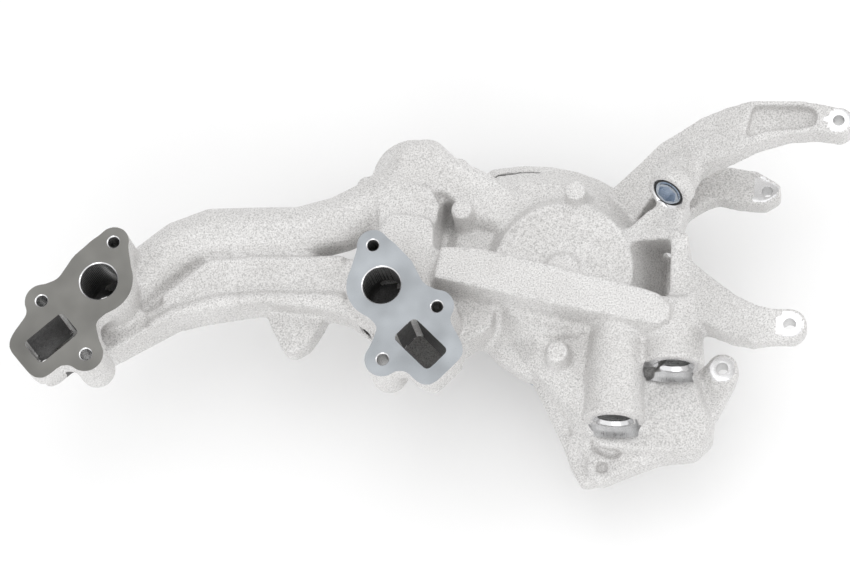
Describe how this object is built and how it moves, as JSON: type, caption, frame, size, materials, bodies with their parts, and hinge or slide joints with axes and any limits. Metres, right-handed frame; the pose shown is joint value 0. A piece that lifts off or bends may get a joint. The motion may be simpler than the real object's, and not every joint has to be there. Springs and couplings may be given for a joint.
{
  "type": "engine coolant manifold",
  "caption": "Cast engine coolant manifold with crossover tubes, a pump housing on one side, a thermostat dome, side ports and accessory arms.",
  "frame": {"origin": "midway between the two upper block bolt holes, on the plane of the block faces", "axes": "+X along the manifold towards the pump and arms, +Y up as fitted on the engine, +Z out of the block faces, towards the engine block"},
  "size_m": [0.6239, 0.2784, 0.154],
  "materials": {
    "cast_aluminium": "satin",
    "black_rubber": "matte",
    "zinc_steel": "satin",
    "ground_steel": "polished",
    "brass": "satin",
    "cast_iron": "matte",
    "carbon": "matte",
    "ceramic": "satin"
  },
  "bodies": {
    "housing": {"manifold_casting": "cast_aluminium", "pump_cover": "cast_aluminium", "cover_oring": "black_rubber", "cover_bolts": "zinc_steel", "cover_dowels": "ground_steel", "bearing_outer_race": "ground_steel", "bearing_snap_ring": "ground_steel", "seal_case": "brass", "seal_bellows": "black_rubber", "seal_carbon": "carbon", "thermostat_frame": "brass", "thermostat_gasket": "black_rubber", "thermostat_piston": "ground_steel", "thermostat_spring": "ground_steel", "outlet_neck": "cast_aluminium", "neck_bolts": "zinc_steel", "port_plug": "zinc_steel", "plug_seal": "black_rubber"},
    "rotor": {"pump_shaft": "ground_steel", "impeller": "cast_iron", "seal_seat": "ceramic", "drive_hub": "zinc_steel"},
    "ball_set": {"bearing_balls": "ground_steel", "bearing_cage": "brass"},
    "valve": {"thermostat_valve": "brass", "thermostat_capsule": "brass"},
    "vent_pin": {"jiggle_pin": "brass"}
  },
  "joints": [
    {"name": "pump_spin", "type": "hinge", "parent": "housing", "child": "rotor", "pos_m": [0.237, -0.001, -0.125], "axis": [0, 0, 1], "continuous": true},
    {"name": "ball_set_spin", "type": "hinge", "parent": "housing", "child": "ball_set", "pos_m": [0.237, -0.001, -0.125], "axis": [0, 0, 1], "continuous": true},
    {"name": "valve_stroke", "type": "slide", "parent": "housing", "child": "valve", "axis": [0, 0, 1], "range_m": [0, 0.008], "stiffness_N_per_m": 3000, "springref_m": -0.01, "deforming": ["thermostat_spring"]},
    {"name": "vent_pin_stroke", "type": "slide", "parent": "housing", "child": "vent_pin", "axis": [0, 0, 1], "range_m": [0, 0.0009]}
  ],
  "couplings": [
    {"joint": "ball_set_spin", "follows": "pump_spin", "ratio": 0.338}
  ]
}
